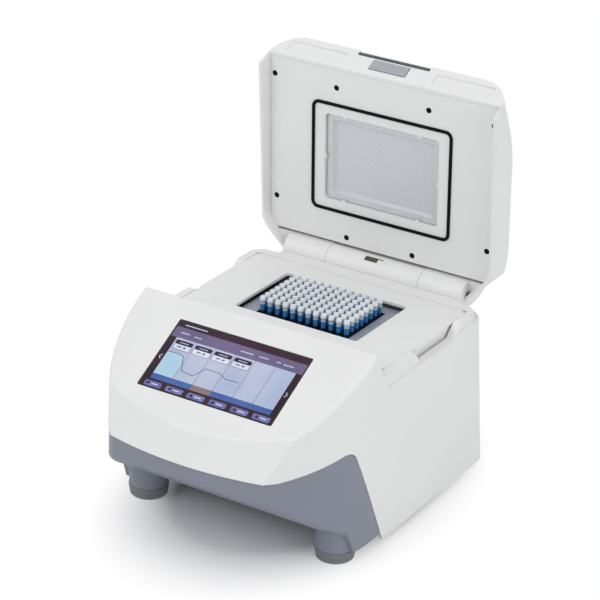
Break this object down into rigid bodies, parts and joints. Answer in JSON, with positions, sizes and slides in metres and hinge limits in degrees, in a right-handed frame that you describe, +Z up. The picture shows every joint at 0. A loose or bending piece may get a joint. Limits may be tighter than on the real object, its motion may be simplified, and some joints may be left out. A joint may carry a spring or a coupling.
{
  "type": "thermal cycler",
  "caption": "Bench thermal cycler with a sloping touch screen, hinged heated lid standing open, and a lift-out sample block holding capped tube strips.",
  "frame": {"origin": "middle of the bounding box's underside, on the bench, with the lid open", "axes": "+X to the right as seen from the front, +Y to the rear, +Z up"},
  "size_m": [0.2768, 0.4246, 0.4107],
  "materials": {
    "white_housing": "fine satin texture",
    "grey_housing": "fine satin texture",
    "foot_rubber": "matte",
    "steel": "brushed",
    "screen_glass": "glossy",
    "black_plastic": "matte",
    "circuit_board": "solder mask",
    "brass": "plain",
    "panel_metal": "fine powder coat",
    "seal_rubber": "matte",
    "insulation": "foam",
    "plate_metal": "bead blasted",
    "heater": "silicone mat",
    "latch_plastic": "satin",
    "frame_anodised": "anodised",
    "block_metal": "dark anodised",
    "ceramic": "ceramic",
    "sink_metal": "extruded",
    "tube_clear": "clear polypropylene",
    "cap_clear": "frosted polypropylene"
  },
  "bodies": {
    "base": {"upper_housing": "white_housing", "lower_housing": "grey_housing", "foot_pads": "foot_rubber", "foot_screws": "steel", "display_glass": "screen_glass", "display_module": "black_plastic", "control_board": "circuit_board", "board_posts": "brass", "hinge_pins": "steel", "rear_panel": "panel_metal", "power_inlet": "black_plastic", "switch_housing": "black_plastic", "usb_port": "steel", "lan_port": "steel", "fan_frame": "black_plastic", "power_supply": "panel_metal", "main_board": "circuit_board", "board_feet": "brass", "module_rails": "panel_metal"},
    "lid": {"lid_shell": "white_housing", "lid_inner_cover": "white_housing", "lid_seal": "seal_rubber", "screw_plugs": "seal_rubber", "window_frame": "black_plastic", "lid_insulation": "insulation", "latch_case": "grey_housing"},
    "heated_plate": {"heated_plate": "plate_metal", "heater_mat": "heater"},
    "latch": {"latch_button": "latch_plastic"},
    "module": {"module_deck": "white_housing", "block_frame": "frame_anodised", "block_gasket": "seal_rubber", "sample_block": "block_metal", "peltier_coolers": "ceramic", "heat_sink": "sink_metal", "module_tray": "grey_housing", "frame_screws": "steel"},
    "tubes": {"tube_strips": "tube_clear", "tube_caps": "cap_clear"},
    "fan": {"fan_rotor": "black_plastic"},
    "rocker": {"power_rocker": "black_plastic"},
    "drawer": {"fuse_drawer": "black_plastic"}
  },
  "joints": [
    {"name": "lid_hinge", "type": "hinge", "parent": "base", "child": "lid", "pos_m": [0, 0.14835, 0.1843], "axis": [1, 0, 0], "range_deg": [0, 87.57]},
    {"name": "plate_float", "type": "slide", "parent": "lid", "child": "heated_plate", "axis": [0, -0.9991, -0.0424], "range_m": [-0.0015, 0], "stiffness_N_per_m": 2500, "springref_m": 0.002},
    {"name": "latch_press", "type": "slide", "parent": "lid", "child": "latch", "axis": [0, 0.4622, -0.8868], "range_m": [0, 0.0024], "stiffness_N_per_m": 500, "springref_m": -0.002},
    {"name": "module_lift", "type": "slide", "parent": "base", "child": "module", "axis": [0, 0, -1], "range_m": [-0.13, 0]},
    {"name": "tubes_lift", "type": "slide", "parent": "module", "child": "tubes", "axis": [0, 0, -1], "range_m": [-0.04, 0]},
    {"name": "fan_spin", "type": "hinge", "parent": "base", "child": "fan", "pos_m": [0, 0.1278, 0.09382], "axis": [0, 0.9945, 0.1045], "continuous": true},
    {"name": "switch_rock", "type": "hinge", "parent": "base", "child": "rocker", "pos_m": [0.078, 0.1442, 0.07745], "axis": [1, 0, 0], "range_deg": [0, 12]},
    {"name": "fuse_drawer_slide", "type": "slide", "parent": "base", "child": "drawer", "axis": [0, 0.9945, 0.1045], "range_m": [0, 0.02]}
  ]
}
